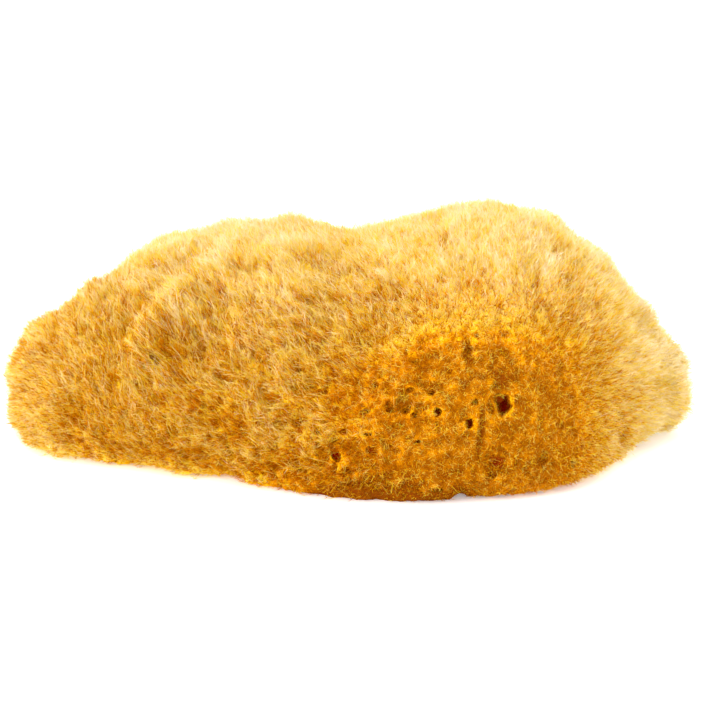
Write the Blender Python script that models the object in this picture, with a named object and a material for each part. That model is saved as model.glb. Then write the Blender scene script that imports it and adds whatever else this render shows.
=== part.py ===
"""Natural bath sponge, the trimmed skeleton of a sea sponge: one golden, tufted body cut flat underneath.

Run with: blender --background --python part.py

Metres, +Z up. The body rests on its flat cut at z = 0, with its length along X. Its front, where most
of the oscula (the large holes) are, faces -Y. The surface is where the tips of the tufts end.
"""

import math
from typing import NamedTuple

import bmesh
import bpy
import numpy as np
from mathutils import Matrix, Vector, noise
from mathutils.bvhtree import BVHTree

MM = 0.001

# Driving sizes of the whole sponge, which the sections below are shares of.
LENGTH = 149 * MM
DEPTH = 84 * MM
HEIGHT = 52 * MM

# The line that the sponge grew outwards from, as shares of the whole. The slice at the x of the first
# column has its tufts point away from the place that the other three give.
GROWTH_LINE = (
    (-0.50, -0.30, 0.08, 0.05),
    (-0.33, -0.22, 0.02, -0.20),
    (-0.17, -0.02, -0.05, -0.12),
    (0.00, 0.12, -0.12, 0.08),
    (0.15, 0.19, -0.16, 0.17),
    (0.50, 0.19, -0.16, 0.17),
)

# Mesh density: segments around each section, rings along the length.
AROUND = 78
ALONG = 67

# Relief of the surface: broad lumps, and locks of fibre combed away from the growth line.
LUMP_HEIGHT = 1.9 * MM
LUMP_WIDTH = 26 * MM
LUMP_ROUGHNESS = 0.9
LUMP_SCALE_STEP = 2.1
LUMP_OCTAVES = 2
LOCK_HEIGHT = 2.4 * MM
LOCK_WIDTH = 6.5 * MM
LOCK_LENGTH = 15 * MM
LOCK_SAMPLES = 7
LOCK_CONTRAST = 2.6
# The felt around the largest osculum is nearly smooth, and locks reach full height far from it.
FELT_CENTRE = Vector((28, -40, 16)) * MM
FELT_LOCK_SHARE = 0.2
FELT_RADIUS = 16 * MM
FULL_LOCK_RADIUS = 52 * MM

# Where the locks of the left lobe part: a valley that runs down the front, through these points.
PARTING = (
    Vector((-29, -7, 42)) * MM,
    Vector((-35, -13, 35)) * MM,
    Vector((-40, -17, 28)) * MM,
    Vector((-43, -20, 20)) * MM,
    Vector((-41, -23, 12)) * MM,
)
PARTING_DEPTH = 3.2 * MM
PARTING_HALF_WIDTH = 4.5 * MM

# An osculum's plug: its sides, how far it leans from its side's way in towards the surface's own, its
# radius outside and at the bottom as shares of the hole's, and its length and place as shares of the depth.
OSCULUM_SIDES = 9
SQUARENESS = 0.6
MOUTH_FLARE = 1.35
BOTTOM_SHARE = 0.55
PLUG_LENGTH = 1.5
PLUG_CENTRE = 0.25
# Further from the middle than any point of the sponge.
OUTSIDE = 0.2


class Section(NamedTuple):
    """One cross-section, as shares of the length, depth and height."""

    x: float
    front: float
    back: float
    top: float
    rim: float
    low: float


# From the thin left end to the blunt right one. front and back are where the section is widest, at the
# height of the rim, and low is how far its natural underside would reach below the cut.
SECTIONS = (
    Section(-0.500, 0.09, 0.12, 0.22, 0.20, 0.18),
    Section(-0.492, 0.00, 0.20, 0.37, 0.18, 0.05),
    Section(-0.473, -0.06, 0.27, 0.44, 0.15, -0.01),
    Section(-0.443, -0.11, 0.32, 0.51, 0.13, -0.05),
    Section(-0.410, -0.15, 0.36, 0.56, 0.12, -0.07),
    Section(-0.365, -0.20, 0.39, 0.66, 0.11, -0.08),
    Section(-0.315, -0.25, 0.42, 0.76, 0.11, -0.09),
    Section(-0.260, -0.29, 0.44, 0.82, 0.10, -0.10),
    Section(-0.205, -0.33, 0.46, 0.83, 0.10, -0.10),
    Section(-0.150, -0.37, 0.47, 0.86, 0.10, -0.10),
    Section(-0.095, -0.42, 0.48, 0.89, 0.10, -0.10),
    Section(-0.040, -0.46, 0.48, 0.85, 0.10, -0.10),
    Section(0.010, -0.48, 0.48, 0.83, 0.10, -0.10),
    Section(0.060, -0.49, 0.48, 0.89, 0.10, -0.10),
    Section(0.120, -0.50, 0.48, 0.94, 0.10, -0.10),
    Section(0.180, -0.50, 0.48, 0.99, 0.10, -0.10),
    Section(0.235, -0.47, 0.47, 0.98, 0.10, -0.10),
    Section(0.285, -0.41, 0.45, 0.92, 0.10, -0.09),
    Section(0.330, -0.33, 0.42, 0.81, 0.10, -0.08),
    Section(0.370, -0.23, 0.38, 0.72, 0.11, -0.06),
    Section(0.410, -0.13, 0.34, 0.57, 0.12, -0.02),
    Section(0.445, -0.05, 0.29, 0.45, 0.13, 0.01),
    Section(0.475, 0.01, 0.24, 0.35, 0.15, 0.05),
    Section(0.493, 0.06, 0.18, 0.26, 0.18, 0.13),
    Section(0.500, 0.10, 0.12, 0.20, 0.19, 0.18),
)

# Shape of every section: the exponent rounds its shoulders, and the crest leans back by this share of half
# of the section's depth.
SHOULDER = 2.15
CREST_LEAN = 0.12


class Osculum(NamedTuple):
    """A large hole. u and v place it as seen squarely from its side of the sponge, in metres."""

    side: str
    u: float
    v: float
    width: float
    height: float
    depth: float


# For each side: the way in, and the axes that u and v run along.
SIDES = {
    "front": (Vector((0, 1, 0)), Vector((1, 0, 0)), Vector((0, 0, 1))),
    "back": (Vector((0, -1, 0)), Vector((1, 0, 0)), Vector((0, 0, 1))),
    "top": (Vector((0, 0, -1)), Vector((1, 0, 0)), Vector((0, 1, 0))),
    "under": (Vector((0, 0, 1)), Vector((1, 0, 0)), Vector((0, 1, 0))),
}

OSCULA = (
    Osculum("front", 29.1 * MM, 20.6 * MM, 3.4 * MM, 5.2 * MM, 10 * MM),
    Osculum("front", 28.4 * MM, 8.7 * MM, 4.2 * MM, 4.4 * MM, 6 * MM),
    Osculum("front", 22.6 * MM, 17.4 * MM, 2.2 * MM, 3.1 * MM, 7 * MM),
    Osculum("front", 16.8 * MM, 19.3 * MM, 2.0 * MM, 2.5 * MM, 6 * MM),
    Osculum("front", 10.0 * MM, 20.2 * MM, 2.6 * MM, 2.0 * MM, 6 * MM),
    Osculum("front", 6.9 * MM, 19.6 * MM, 1.8 * MM, 1.6 * MM, 5 * MM),
    Osculum("front", 2.8 * MM, 20.6 * MM, 1.7 * MM, 1.5 * MM, 4 * MM),
    Osculum("front", 3.6 * MM, 11.6 * MM, 2.4 * MM, 1.6 * MM, 5 * MM),
    Osculum("front", -2.2 * MM, 10.2 * MM, 2.6 * MM, 2.4 * MM, 7 * MM),
    Osculum("front", -6.9 * MM, 9.9 * MM, 2.6 * MM, 2.0 * MM, 4 * MM),
    Osculum("front", -7.3 * MM, 13.9 * MM, 2.1 * MM, 1.6 * MM, 5 * MM),
    Osculum("front", 13.0 * MM, 13.3 * MM, 1.6 * MM, 1.5 * MM, 4 * MM),
    Osculum("front", 22.6 * MM, 29.9 * MM, 1.5 * MM, 1.7 * MM, 5 * MM),
    Osculum("front", 38.0 * MM, 8.2 * MM, 2.4 * MM, 3.2 * MM, 4 * MM),
    Osculum("front", 44.6 * MM, 6.6 * MM, 1.8 * MM, 2.6 * MM, 4 * MM),
    Osculum("front", 56.5 * MM, 6.4 * MM, 3.0 * MM, 4.4 * MM, 4 * MM),
    Osculum("top", 27.0 * MM, 6.0 * MM, 3.0 * MM, 2.4 * MM, 8 * MM),
    Osculum("top", 9.0 * MM, 17.0 * MM, 2.2 * MM, 2.6 * MM, 7 * MM),
    Osculum("top", -19.0 * MM, 9.0 * MM, 2.6 * MM, 2.2 * MM, 7 * MM),
    Osculum("back", 33.0 * MM, 22.0 * MM, 3.0 * MM, 3.8 * MM, 8 * MM),
    Osculum("back", 21.0 * MM, 12.0 * MM, 2.2 * MM, 2.4 * MM, 6 * MM),
    Osculum("back", 2.0 * MM, 19.0 * MM, 2.6 * MM, 2.2 * MM, 7 * MM),
    Osculum("back", -24.0 * MM, 15.0 * MM, 2.8 * MM, 3.0 * MM, 7 * MM),
    Osculum("back", -41.0 * MM, 10.0 * MM, 2.0 * MM, 2.2 * MM, 6 * MM),
    Osculum("under", 30.0 * MM, -8.0 * MM, 4.6 * MM, 4.0 * MM, 8 * MM),
    Osculum("under", 38.0 * MM, 12.0 * MM, 2.8 * MM, 3.0 * MM, 7 * MM),
    Osculum("under", 13.0 * MM, 15.0 * MM, 3.2 * MM, 2.6 * MM, 7 * MM),
    Osculum("under", 8.0 * MM, -17.0 * MM, 3.0 * MM, 3.4 * MM, 7 * MM),
    Osculum("under", -15.0 * MM, -9.0 * MM, 3.6 * MM, 3.0 * MM, 8 * MM),
    Osculum("under", -27.0 * MM, 14.0 * MM, 2.6 * MM, 2.8 * MM, 6 * MM),
    Osculum("under", -44.0 * MM, 4.0 * MM, 2.4 * MM, 2.2 * MM, 6 * MM),
)


def loft_values(share: np.ndarray) -> np.ndarray:
    """The sections' six values at each share of the way along the loft, on a smooth curve through them."""
    table = np.array(SECTIONS)
    table = np.vstack([2 * table[0] - table[1], table, 2 * table[-1] - table[-2]])
    place = np.clip(share, 0, 1) * (len(SECTIONS) - 1)
    first = np.minimum(place.astype(int), len(SECTIONS) - 2)
    t = (place - first)[:, None]
    a, b, c, d = (table[first + step] for step in range(4))
    return 0.5 * (2 * b + (c - a) * t + (2 * a - 5 * b + 4 * c - d) * t**2 + (3 * b - a - 3 * c + d) * t**3)


def loft(unit: np.ndarray) -> np.ndarray:
    """Moves the points of a unit sphere, whose poles are the two ends, onto the lofted body."""
    share = np.arccos(np.clip(-unit[:, 2], -1, 1)) / np.pi
    angle = np.arctan2(unit[:, 1], unit[:, 0])
    x, front, back, top, rim, low = loft_values(share).T
    across, upward = np.cos(angle), np.sin(angle)
    half = (back - front) / 2
    side = np.sign(across) * np.abs(across) ** (2 / SHOULDER)
    rise = np.abs(upward) ** (2 / SHOULDER)
    lean = np.where(upward > 0, CREST_LEAN * half * upward**2, 0)
    y = (front + back) / 2 + half * side + lean
    z = np.where(upward > 0, rim + (top - rim) * rise, rim - (rim - low) * rise)
    return np.stack([x * LENGTH, y * DEPTH, z * HEIGHT], axis=1)


def growth_direction(point: Vector) -> Vector:
    """The way that the tufts at a point of the surface grew."""
    places, *line = np.array(GROWTH_LINE).T
    source = [np.interp(point.x / LENGTH, places, column) for column in line]
    start = Vector(share * size for share, size in zip(source, (LENGTH, DEPTH, HEIGHT)))
    return (point - start).normalized()


def lock_relief(point: Vector, outward: Vector) -> float:
    """Noise from -1 to 1, averaged along the direction of growth, which leaves outward streaks."""
    total = 0.0
    for step in range(LOCK_SAMPLES):
        along = (step / (LOCK_SAMPLES - 1) - 0.5) * LOCK_LENGTH
        total += noise.noise((point + outward * along) / LOCK_WIDTH)
    return max(-1.0, min(1.0, LOCK_CONTRAST * total / LOCK_SAMPLES))


def parting_dent(point: Vector) -> float:
    """How far the surface sinks at a point because the locks part there."""
    nearest = min(
        (point - (start + (end - start) * max(0.0, min(1.0, share)))).length
        for start, end in zip(PARTING, PARTING[1:])
        for share in [(point - start).dot(end - start) / (end - start).length_squared]
    )
    return PARTING_DEPTH * math.exp(-((nearest / PARTING_HALF_WIDTH) ** 2))


def add_relief(bm: bmesh.types.BMesh) -> None:
    """Raises the broad lumps and combed locks along the surface's normals, and sinks the parting."""
    bm.normal_update()
    moves = []
    for vertex in bm.verts:
        radius = (vertex.co - FELT_CENTRE).length
        lumps = noise.fractal(vertex.co / LUMP_WIDTH, LUMP_ROUGHNESS, LUMP_SCALE_STEP, LUMP_OCTAVES)
        share = max(0.0, min(1.0, (radius - FELT_RADIUS) / (FULL_LOCK_RADIUS - FELT_RADIUS)))
        combed = FELT_LOCK_SHARE + (1 - FELT_LOCK_SHARE) * share
        lock = combed * LOCK_HEIGHT * lock_relief(vertex.co, growth_direction(vertex.co))
        moves.append(vertex.normal * (LUMP_HEIGHT * lumps + lock - parting_dent(vertex.co)))
    for vertex, move in zip(bm.verts, moves):
        vertex.co += move


def body_mesh() -> bmesh.types.BMesh:
    """The whole natural form, cut off flat at z = 0."""
    bm = bmesh.new()
    bmesh.ops.create_uvsphere(bm, u_segments=AROUND, v_segments=ALONG, radius=1)
    unit = np.array([vertex.co for vertex in bm.verts])
    for vertex, place in zip(bm.verts, loft(unit)):
        vertex.co = place
    bmesh.ops.recalc_face_normals(bm, faces=bm.faces)
    add_relief(bm)
    whole = bm.verts[:] + bm.edges[:] + bm.faces[:]
    cut = bmesh.ops.bisect_plane(bm, geom=whole, plane_co=(0, 0, 0), plane_no=(0, 0, 1), clear_inner=True)
    rim = [item for item in cut["geom_cut"] if isinstance(item, bmesh.types.BMEdge)]
    bmesh.ops.contextual_create(bm, geom=rim)
    bmesh.ops.recalc_face_normals(bm, faces=bm.faces)
    return bm


def add_oscula_cutters(body: bmesh.types.BMesh, cutters: bmesh.types.BMesh) -> None:
    """A tapering plug for each osculum, from just outside the surface to the bottom of the hole."""
    tree = BVHTree.FromBMesh(body)
    for hole in OSCULA:
        inward, u_axis, v_axis = SIDES[hole.side]
        start = u_axis * hole.u + v_axis * hole.v - inward * OUTSIDE
        mouth, normal = tree.ray_cast(start, inward)[:2]
        heading = (inward - SQUARENESS * normal).normalized()
        turn = heading.to_track_quat("Z", "Y").to_matrix().to_4x4()
        size = Matrix.Diagonal((hole.width / 2, hole.height / 2, hole.depth, 1))
        bmesh.ops.create_cone(
            cutters,
            cap_ends=True,
            segments=OSCULUM_SIDES,
            radius1=MOUTH_FLARE,
            radius2=BOTTOM_SHARE,
            depth=PLUG_LENGTH,
            matrix=Matrix.Translation(mouth) @ turn @ size @ Matrix.Translation((0, 0, PLUG_CENTRE)),
        )


def object_from(bm: bmesh.types.BMesh, name: str, collection: bpy.types.Collection) -> bpy.types.Object:
    """A new object with this mesh, in this collection."""
    mesh = bpy.data.meshes.new(name)
    bm.to_mesh(mesh)
    made = bpy.data.objects.new(name, mesh)
    collection.objects.link(made)
    return made


def sponge_material() -> bpy.types.Material:
    """Golden spongin fibre: dull, and a warm yellow."""
    material = bpy.data.materials.new("spongin")
    material.use_nodes = True
    shader = material.node_tree.nodes["Principled BSDF"]
    shader.inputs["Base Color"].default_value = (0.80, 0.47, 0.09, 1)
    shader.inputs["Roughness"].default_value = 0.85
    shader.inputs["Metallic"].default_value = 0.0
    return material


def main() -> None:
    """Builds the sponge body with its oscula."""
    for old in list(bpy.data.objects):
        bpy.data.objects.remove(old)
    sponge = bpy.data.collections.new("sea_sponge")
    helpers = bpy.data.collections.new("cutters")
    for collection in (sponge, helpers):
        bpy.context.scene.collection.children.link(collection)

    body = body_mesh()
    cutters = bmesh.new()
    add_oscula_cutters(body, cutters)
    sponge_body = object_from(body, "sponge_body", sponge)
    sponge_body.data.materials.append(sponge_material())
    plugs = object_from(cutters, "oscula_cutter", helpers)
    plugs.hide_render = True
    plugs.display_type = "WIRE"

    cut = sponge_body.modifiers.new("oscula", "BOOLEAN")
    cut.operation = "DIFFERENCE"
    cut.object = plugs


main()
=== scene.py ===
"""A natural bath sponge, the trimmed and cleaned skeleton of a sea sponge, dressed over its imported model.

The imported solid's surface is where the tips of the tufts end. Here the flesh, a felt of spongin with pits,
combed ridges and open oscula, lies a little inside that surface, and thousands of fibres grow from it and
fill the space up to it. Metres, +Z up, and the front with the oscula faces -Y.
"""

from __future__ import annotations

import logging
import math
from dataclasses import dataclass, field
from enum import Enum

import bmesh
import bpy
import numpy as np
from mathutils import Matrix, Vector
from mathutils.bvhtree import BVHTree
from mathutils.kdtree import KDTree


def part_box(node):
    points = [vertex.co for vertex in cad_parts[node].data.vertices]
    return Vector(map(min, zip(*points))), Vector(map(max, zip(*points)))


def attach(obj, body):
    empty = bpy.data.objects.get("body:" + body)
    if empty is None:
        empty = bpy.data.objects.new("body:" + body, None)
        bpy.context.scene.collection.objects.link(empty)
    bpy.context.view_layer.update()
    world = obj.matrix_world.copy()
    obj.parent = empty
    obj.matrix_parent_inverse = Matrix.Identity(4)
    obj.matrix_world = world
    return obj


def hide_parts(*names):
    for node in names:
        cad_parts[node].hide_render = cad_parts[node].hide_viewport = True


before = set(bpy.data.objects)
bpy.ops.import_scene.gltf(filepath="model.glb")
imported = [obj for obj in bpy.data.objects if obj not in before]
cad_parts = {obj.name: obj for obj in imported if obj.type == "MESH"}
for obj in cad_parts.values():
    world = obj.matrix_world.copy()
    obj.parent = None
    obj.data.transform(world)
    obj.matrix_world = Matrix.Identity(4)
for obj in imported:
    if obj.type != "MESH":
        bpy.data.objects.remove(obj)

LOG = logging.getLogger("sea_sponge")
MM = 0.001
CAD_NODE = "sponge_body"
BODY = "root"
# The map that the fibres' colours are looked up on: across it they go from deep to pale.
COLOUR_MAP = "OFBake"
# Spongin's colours, from the deepest inside an osculum to the palest at the tips of the tufts. The dark red
# at its foot is painted shade, reached only inside the oscula, and the brown above it is the deepest that the
# torn lower edge gets, as painted shade there.
SPONGIN_COLOURS = {
    0.0: "#C01E04",
    0.03: "#A02C04",
    0.06: "#7E3E08",
    0.10: "#A05C04",
    0.14: "#AE6A04",
    0.19: "#C67C04",
    0.25: "#E19404",
    0.32: "#EEAF08",
    0.42: "#F3CF1C",
    0.54: "#F5E048",
    0.70: "#F5E380",
    0.85: "#F6E6AE",
    1.0: "#F8EDD8",
}


# Small helpers.


def linear(hex_colour: str) -> tuple[float, float, float, float]:
    """Turns an sRGB hex colour to linear RGBA.

    Args:
        hex_colour: Six hex digits after a hash.

    Returns:
        Linear red, green and blue, with an alpha of 1.
    """
    channels = [int(hex_colour[i : i + 2], 16) / 255 for i in (1, 3, 5)]
    return (*(c / 12.92 if c <= 0.04045 else ((c + 0.055) / 1.055) ** 2.4 for c in channels), 1.0)


def unit(vectors: np.ndarray) -> np.ndarray:
    """The vectors, each made one long."""
    return vectors / np.maximum(np.linalg.norm(vectors, axis=-1, keepdims=True), 1e-12)


def ramp(values: np.ndarray, low: float, high: float) -> np.ndarray:
    """A smooth step from 0 at low to 1 at high."""
    share = np.clip((values - low) / (high - low), 0, 1)
    return share * share * (3 - 2 * share)


def between(low: float, high: float, share: np.ndarray) -> np.ndarray:
    """The value that lies at each share of the way from low to high."""
    return low + (high - low) * share


class SmoothNoise:
    """Gradient noise from about -1 to 1, worked out for many points at once and the same on each run."""

    def __init__(self, seed: int) -> None:
        """Draws the noise's table.

        Args:
            seed: Picks one pattern.
        """
        rng = np.random.default_rng(seed)
        self.order = np.tile(rng.permutation(256), 2)
        self.slopes = unit(rng.normal(size=(256, 3)))

    def __call__(self, places: np.ndarray) -> np.ndarray:
        """Reads the noise.

        Args:
            places: Points, in cells of the noise.

        Returns:
            One value for each point.
        """
        cell = np.floor(places).astype(int)
        part = places - cell
        fade = part**3 * (part * (part * 6 - 15) + 10)
        total = np.zeros(len(places))
        for corner in np.ndindex(2, 2, 2):
            at = (cell + corner) & 255
            slope = self.slopes[self.order[self.order[self.order[at[:, 0]] + at[:, 1]] + at[:, 2]]]
            weight = np.prod(np.where(np.array(corner) == 1, fade, 1 - fade), axis=1)
            total += weight * ((part - corner) * slope).sum(axis=1)
        return total * 1.6


def drift(places: np.ndarray, width: float, seed: int) -> np.ndarray:
    """Vectors that change smoothly from place to place.

    Args:
        places: Points.
        width: Over what distance they change.
        seed: Picks one pattern.

    Returns:
        One vector for each point, each part of it from about -1 to 1.
    """
    return np.stack([SmoothNoise(seed + k)(places / width) for k in range(3)], axis=1)


# How the sponge grew, which the ridges and the fibres both follow.


@dataclass(frozen=True)
class Growth:
    """Which way the tufts grew, and how combed or felted they are, at any point of the surface.

    The line is given as shares of the sponge's length, depth and height: the slice at the x of the first
    number has its tufts point away from the place that the other three give.
    """

    size: np.ndarray
    line: tuple[tuple[float, float, float, float], ...] = (
        (-0.50, -0.30, 0.08, 0.05),
        (-0.33, -0.22, 0.02, -0.20),
        (-0.17, -0.02, -0.05, -0.12),
        (0.00, 0.12, -0.12, 0.08),
        (0.15, 0.19, -0.16, 0.17),
        (0.50, 0.19, -0.16, 0.17),
    )
    # The middle of the smooth felt that the largest oscula open in, and the radii at which the locks begin
    # and are full.
    felt_centre: tuple[float, float, float] = (26 * MM, -40 * MM, 14 * MM)
    felt_radius: float = 7 * MM
    combed_radius: float = 38 * MM
    # Slow swirls, and quick waves, that turn neighbouring locks a little from each other. The waves are
    # stronger on the matted crest.
    swirl_width: float = 11 * MM
    swirl: float = 0.16
    wave_width: float = 2.2 * MM
    wave: float = 0.22
    crest_wave: float = 0.30
    streak_steps: int = 7
    streak_contrast: float = 2.2
    # Streaks finer than the surface's mesh are read on coordinates of their own, which change with the
    # direction of growth, at this radius.
    comb_radius: float = 35 * MM
    # How wide their curls are, and how far the curls put them off a straight line.
    curl_width: float = 1.7 * MM
    curl: float = 0.45 * MM
    # How pale the low felt is, and what the crest, the foot, the left lobe, the combed pile, the blunt right
    # end and the thin left one add to that, then slow mottling and streaks, with their sizes. The paler crest
    # and ends are partly real fading and partly painted light, and the deeper foot is painted shade.
    base_tone: float = 0.13
    crest_fade_and_light: float = 0.54
    foot_painted_shade: float = 0.11
    lobe_tone: float = 0.10
    combed_tone: float = 0.18
    blunt_end_fade_and_light: float = 0.62
    thin_end_fade_and_light: float = 0.20
    mottle_tone: float = 0.08
    mottle_width: float = 9 * MM
    streak_tone: float = 0.10
    streak_size: tuple[float, float] = (1.6 * MM, 6 * MM)
    tone_range: tuple[float, float] = (0.12, 0.9)

    def flow(self, places: np.ndarray) -> np.ndarray:
        """The way that the tufts point, but for their waves.

        Args:
            places: Points on the surface.

        Returns:
            One vector of length one for each point.
        """
        table = np.array(self.line)
        share = places[:, 0] / self.size[0]
        source = np.stack([np.interp(share, table[:, 0], table[:, k]) for k in (1, 2, 3)], axis=1)
        return unit(unit(places - source * self.size) + self.swirl * drift(places, self.swirl_width, 11))

    def direction(self, places: np.ndarray) -> np.ndarray:
        """The way that the tufts point, with their waves: one vector of length one for each point."""
        wave = self.wave + self.crest_wave * ramp(places[:, 2] / self.size[2], 0.5, 0.8)
        return unit(self.flow(places) + wave[:, None] * drift(places, self.wave_width, 14))

    def combed(self, places: np.ndarray) -> np.ndarray:
        """From 0 in the felt around the largest osculum to 1 where the locks are full."""
        away = np.linalg.norm(places - np.array(self.felt_centre), axis=1)
        return ramp(away, self.felt_radius, self.combed_radius)

    def relief(self, places: np.ndarray) -> np.ndarray:
        """How deeply the locks are parted: most on the left lobe's flank, least on the crest and the ends."""
        x, height = places[:, 0], places[:, 2] / self.size[2]
        along = ramp(x, -68 * MM, -52 * MM) * (1 - 0.8 * ramp(x, -6 * MM, 22 * MM))
        return along * (1 - 0.85 * ramp(height, 0.62, 0.86))

    def combs(self, places: np.ndarray, share: float) -> np.ndarray:
        """Coordinates on which any noise comes out drawn along the growth, in curls.

        Args:
            places: Points on the surface.
            share: How fast they change along the growth, compared with across it.

        Returns:
            One place for each point, in metres.
        """
        curls = self.curl * drift(places, self.curl_width, 17)
        return self.flow(places) * self.comb_radius + places * share + curls

    def streaks(self, places: np.ndarray, width: float, length: float, seed: int) -> np.ndarray:
        """Noise that is drawn out along the growth.

        Args:
            places: Points on the surface.
            width: How wide the streaks are.
            length: How long they are.
            seed: Picks one pattern.

        Returns:
            A value from about -1 to 1 for each point.
        """
        noise, ways = SmoothNoise(seed), self.direction(places)
        total = np.zeros(len(places))
        for share in np.linspace(-0.5, 0.5, self.streak_steps):
            total += noise((places + ways * share * length) / width)
        return np.clip(total / self.streak_steps * self.streak_contrast, -1, 1)

    def tone_light_and_shade(self, places: np.ndarray) -> np.ndarray:
        """How pale the sponge is: paler on its crest and at its ends, partly from real fading and partly as
        painted light, deeper at its foot as painted shade, and mottled and in streaks.

        Args:
            places: Points on the surface.

        Returns:
            From 0, a deep orange, to 1, a pale cream, for each point.
        """
        x, height = places[:, 0], places[:, 2] / self.size[2]
        # The crest and the two ends are painted paler, partly for fading and partly as painted light, and the
        # foot deeper, as painted shade.
        tone = self.base_tone + self.crest_fade_and_light * ramp(height, 0.46, 0.98)
        tone -= self.foot_painted_shade * (1 - ramp(height, 0.05, 0.60))
        tone += self.lobe_tone * (1 - ramp(x, -24 * MM, 8 * MM)) + self.combed_tone * self.combed(places)
        blunt, thin = ramp(x, 42 * MM, 70 * MM), ramp(-x, 50 * MM, 76 * MM)
        tone += self.blunt_end_fade_and_light * blunt + self.thin_end_fade_and_light * thin
        tone += self.mottle_tone * SmoothNoise(31)(places / self.mottle_width)
        tone += self.streak_tone * self.streaks(places, *self.streak_size, 32)
        return np.clip(tone, *self.tone_range)


# Objects and finishes.


def add_object(name: str, data: bpy.types.ID) -> bpy.types.Object:
    """Adds an object with this mesh, light or camera to the scene."""
    made = bpy.data.objects.new(name, data)
    bpy.context.scene.collection.objects.link(made)
    return made


def add_material(name: str) -> tuple[bpy.types.Material, bpy.types.NodeTree]:
    """A new material, and its node tree, which is empty."""
    material = bpy.data.materials.new(name)
    material.use_nodes = True
    material.node_tree.nodes.clear()
    return material, material.node_tree


def add_node(tree: bpy.types.NodeTree, kind: str, settings: dict | None = None, **links) -> bpy.types.Node:
    """Adds a shader node.

    Args:
        tree: The node tree.
        kind: The node's type, without the word ShaderNode.
        settings: Values for its properties, or for its inputs by name or number.
        **links: Outputs to link, by input name with _ for a space, or by number after an i.

    Returns:
        The new node.
    """
    node = tree.nodes.new("ShaderNode" + kind)
    for name, value in (settings or {}).items():
        if isinstance(name, int) or name in node.inputs:
            node.inputs[name].default_value = value
        else:
            setattr(node, name, value)
    for name, output in links.items():
        key = int(name[1:]) if name[0] == "i" and name[1:].isdigit() else name.replace("_", " ")
        tree.links.new(output, node.inputs[key])
    return node


def colour_ramp(tree: bpy.types.NodeTree, value: bpy.types.NodeSocket, stops: dict) -> bpy.types.NodeSocket:
    """Adds a colour ramp.

    Args:
        tree: The node tree.
        value: What the ramp is read at.
        stops: Hex colours by place.

    Returns:
        The ramp's colour.
    """
    node = add_node(tree, "ValToRGB", Fac=value)
    elements = node.color_ramp.elements
    for index, (place, colour) in enumerate(sorted(stops.items())):
        element = elements[index] if index < 2 else elements.new(place)
        element.position = place
        element.color = linear(colour)
    return node.outputs["Color"]


@dataclass(frozen=True)
class SponginFibre:
    """Dried spongin fibre: a fine, clear, horny protein thread. Over half of the light that meets it goes on
    through it, so the tufts glow from behind, and where it has met many of them it is a deep orange."""

    name: str = "spongin_fibre"
    roughness: float = 0.5
    ior: float = 1.54
    specular: float = 0.02
    light_through: float = 0.6

    def build(self) -> bpy.types.Material:
        """Makes the material, which reads its colour on the fibres' own map."""
        material, tree = add_material(self.name)
        place = add_node(tree, "UVMap", {"uv_map": COLOUR_MAP})
        tone_and_shading = add_node(tree, "SeparateXYZ", Vector=place.outputs["UV"]).outputs["X"]
        colour = colour_ramp(tree, tone_and_shading, SPONGIN_COLOURS)
        front = add_node(
            tree,
            "BsdfPrincipled",
            {"Roughness": self.roughness, "IOR": self.ior, "Specular IOR Level": self.specular},
            Base_Color=colour,
        )
        through = add_node(tree, "BsdfTranslucent", Color=colour)
        both = add_node(
            tree, "MixShader", {0: self.light_through}, i1=front.outputs[0], i2=through.outputs[0]
        )
        add_node(tree, "OutputMaterial", Surface=both.outputs[0])
        return material


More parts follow.
